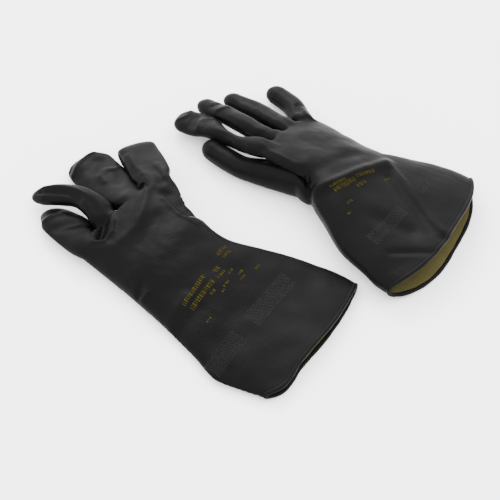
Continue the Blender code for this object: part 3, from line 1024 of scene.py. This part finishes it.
def build_bead(skin, paints):
    """Rolled edge round the mouth, a little uneven as hand-rolled rubber is."""
    path, outward = bead_path(skin)
    tangent = np.roll(path, -1, axis=0) - np.roll(path, 1, axis=0)
    tangent /= np.linalg.norm(tangent, axis=1)[:, None]
    outward -= tangent * np.sum(outward * tangent, axis=1)[:, None]
    outward /= np.linalg.norm(outward, axis=1)[:, None]
    side = np.cross(tangent, outward)
    turn = np.linspace(0, 2 * np.pi, BEAD_SIDES, endpoint=False)
    phase = np.linspace(0, 2 * np.pi, BEAD_SECTIONS, endpoint=False)
    radius = BEAD_RADIUS * MM * (1 + 0.05 * np.sin(7 * phase) + 0.04 * np.sin(17 * phase + 1))
    verts = (
        path[:, None, :]
        + outward[:, None, :] * (np.cos(turn)[None, :, None] * radius[:, None, None])
        + side[:, None, :] * (np.sin(turn)[None, :, None] * radius[:, None, None])
    ).reshape(-1, 3)
    verts[:, 2] = np.maximum(verts[:, 2], BEAD_FLOOR_GAP * MM)
    faces = []
    for section in range(BEAD_SECTIONS):
        a = section * BEAD_SIDES
        b = (section + 1) % BEAD_SECTIONS * BEAD_SIDES
        for k in range(BEAD_SIDES):
            after = (k + 1) % BEAD_SIDES
            faces.append((a + k, b + k, b + after, a + after))
    name = skin.glove.name
    bead = add_mesh(f"{name}_rolled_bead", verts, faces, paints["bead"])
    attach(bead, f"{name}_gauntlet_body")
    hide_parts(f"{name}_cuff_bead")


# ---------------------------------------------------------------- grip and print


def stud(place, normal, along, size, height):
    """Corners and faces of one low four-sided point standing on the skin."""
    side = unit(np.cross(normal, along))
    along = np.cross(side, normal)
    foot = place - normal * STUD_FOOT * MM
    verts = [foot + (along * a + side * b) * size for a, b in ((1, 0), (0, 1), (-1, 0), (0, -1))]
    verts.append(place + normal * height)
    return verts, [(0, 1, 4), (1, 2, 4), (2, 3, 4), (3, 0, 4), (3, 2, 1, 0)]


def gather(name, items, material):
    verts, faces = [], []
    for corners, loops in items:
        start = len(verts)
        verts.extend(corners)
        faces.extend([tuple(k + start for k in loop) for loop in loops])
    piece = add_mesh(name, verts, faces, material)
    piece.data.polygons.foreach_set("use_smooth", [False] * len(piece.data.polygons))
    return piece


def drop(skin, x, y):
    """Point and normal of the upper side straight below a place in plan."""
    start = Vector(skin.glove.world([[x, y, 150.0]])[0])
    hit, normal, _, _ = skin.tree.ray_cast(start, Vector((0.0, 0.0, -1.0)))
    return np.array(hit), np.array(normal)


def build_grip(skin, paints):
    """Bands of fine raised points across the back of the gauntlet."""
    glove = skin.glove
    items = []
    half_pitch = GRIP_PITCH / 2
    for x_low, x_high, y_low, y_high, lean in GRIP_BANDS[glove.name]:
        for row in range(int((x_high - x_low) / half_pitch)):
            x = x_low + row * half_pitch
            for column in range(int((y_high - y_low) / GRIP_PITCH)):
                y = y_low + column * GRIP_PITCH + half_pitch * (row % 2)
                place, normal = drop(skin, x + lean * y, y)
                items.append(stud(place, normal, glove.axes[0], GRIP_SIZE * MM, GRIP_HEIGHT * MM))
    band = gather(f"{glove.name}_grip_band", items, paints["grip"])
    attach(band, f"{glove.name}_gauntlet_body")


def build_tip_grip(skin, digit_name, paints):
    """The same raised points over the end of one digit."""
    glove = skin.glove
    lay = skin.lays[digit_name]
    digit = glove.digits[digit_name]
    items = []
    rows = np.arange(lay.length - TIP_GRIP_LENGTH, lay.length + 1.0, TIP_GRIP_PITCH)
    for row, along in enumerate(rows):
        for step in range(TIP_GRIP_TURNS):
            angle = 2 * math.pi * (step + 0.5 * (row % 2)) / TIP_GRIP_TURNS
            point = lay.carry(
                np.array([along]), np.array([digit.half * math.cos(angle) * 0.8]),
                np.array([digit.height * math.sin(angle) * 0.8]),
            )
            place, normal, _, _ = skin.tree.find_nearest(Vector(glove.world(point)[0]))
            if place.z < TIP_GRIP_CLEARANCE * MM:
                continue
            items.append(stud(
                np.array(place), np.array(normal), np.array([0.0, 0.0, 1.0]) + glove.axes[0],
                TIP_GRIP_SIZE * MM, TIP_GRIP_HEIGHT * MM,
            ))
    name = f"{glove.name}_{digit_name}"
    tip = gather(f"{name}_tip_grip", items, paints["grip"])
    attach(tip, f"{name}_tip_body")


def build_print(skin, paints):
    """Rows of plain stamped bars in place of any lettering."""
    glove = skin.glove
    items = []
    for x, y, run_x, run_y, height, lengths in PRINT_ROWS[glove.name]:
        run = unit(np.array([run_x, run_y], float))
        rise = np.array([-run[1], run[0]])
        reach = 0.0
        for length, space in lengths:
            corners = []
            for a, b in ((reach, 0), (reach + length, 0), (reach + length, height), (reach, height)):
                spot = np.array([x, y]) + run * a + rise * b
                place, normal = drop(skin, *spot)
                corners.append(place + normal * INK_LIFT * MM)
            items.append((corners, [(0, 1, 2, 3)]))
            reach += length + space
    stamp = gather(f"{glove.name}_stamp", items, paints["ink"])
    wrist_ends(glove)
    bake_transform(stamp)


# ---------------------------------------------------------------- stage


def build_floor():
    mesh = bpy.data.meshes.new("floor")
    corners = [(-1, -1), (1, -1), (1, 1), (-1, 1)]
    mesh.from_pydata([(x * FLOOR_HALF, y * FLOOR_HALF, 0.0) for x, y in corners], [], [(0, 1, 2, 3)])
    floor = bpy.data.objects.new("floor", mesh)
    material = bpy.data.materials.new("pale_floor")
    material.use_nodes = True
    shader = material.node_tree.nodes["Principled BSDF"]
    shader.inputs["Base Color"].default_value = (0.93, 0.93, 0.93, 1.0)
    shader.inputs["Roughness"].default_value = 0.9
    mesh.materials.append(material)
    bpy.context.scene.collection.objects.link(floor)
    floor.location = (0.0, 0.0, -FLOOR_DROP)


def build_lights(aim):
    data = bpy.data.lights.new("soft_back", "AREA")
    data.shape = "SQUARE"
    data.size = LAMP_SIZE
    data.energy = LAMP_POWER
    lamp = bpy.data.objects.new("soft_back", data)
    lamp.location = LAMP_PLACE
    lamp.rotation_euler = (Vector(aim) - Vector(LAMP_PLACE)).to_track_quat("-Z", "Y").to_euler()
    bpy.context.scene.collection.objects.link(lamp)
    world = bpy.data.worlds.new("studio")
    world.use_nodes = True
    world.node_tree.nodes["Background"].inputs["Color"].default_value = (1.0, 1.0, 1.0, 1.0)
    world.node_tree.nodes["Background"].inputs["Strength"].default_value = SKY_STRENGTH
    bpy.context.scene.world = world


def build_camera(aim):
    elevation = math.radians(CAMERA_ELEVATION)
    back = Vector((0.0, -math.cos(elevation), math.sin(elevation)))
    data = bpy.data.cameras.new("camera")
    data.lens = CAMERA_LENS
    data.sensor_width = SENSOR_WIDTH
    camera = bpy.data.objects.new("camera", data)
    camera.location = Vector(aim) + back * CAMERA_DISTANCE
    camera.rotation_euler = (-back).to_track_quat("-Z", "Y").to_euler()
    bpy.context.scene.collection.objects.link(camera)
    bpy.context.scene.camera = camera


# ---------------------------------------------------------------- the pair


def main():
    paints = {key: rubber_material(*rubber) for key, rubber in RUBBERS.items()}
    paints["ink"] = ink_material()
    gloves = (
        Glove("left", -1, LEFT_BODY, LEFT_DIGITS, LEFT_FOLDS, 13.0, 13.5, 7.0, 0.38),
        Glove("right", 1, RIGHT_BODY, RIGHT_DIGITS, RIGHT_FOLDS, 26.0, 23.0, 0.0, 0.5),
    )
    for glove in gloves:
        skin = Skin(glove)
        skin.place()
        split_skin(skin, paints)
        build_liner(skin, paints)
        build_bead(skin, paints)
        build_grip(skin, paints)
        build_print(skin, paints)
        for digit_name in TEXTURED[glove.name]:
            build_tip_grip(skin, digit_name, paints)
    aim = (gloves[0].origin + np.array(AIM_FROM_WRIST)).tolist()
    build_floor()
    build_lights(aim)
    build_camera(aim)


main()
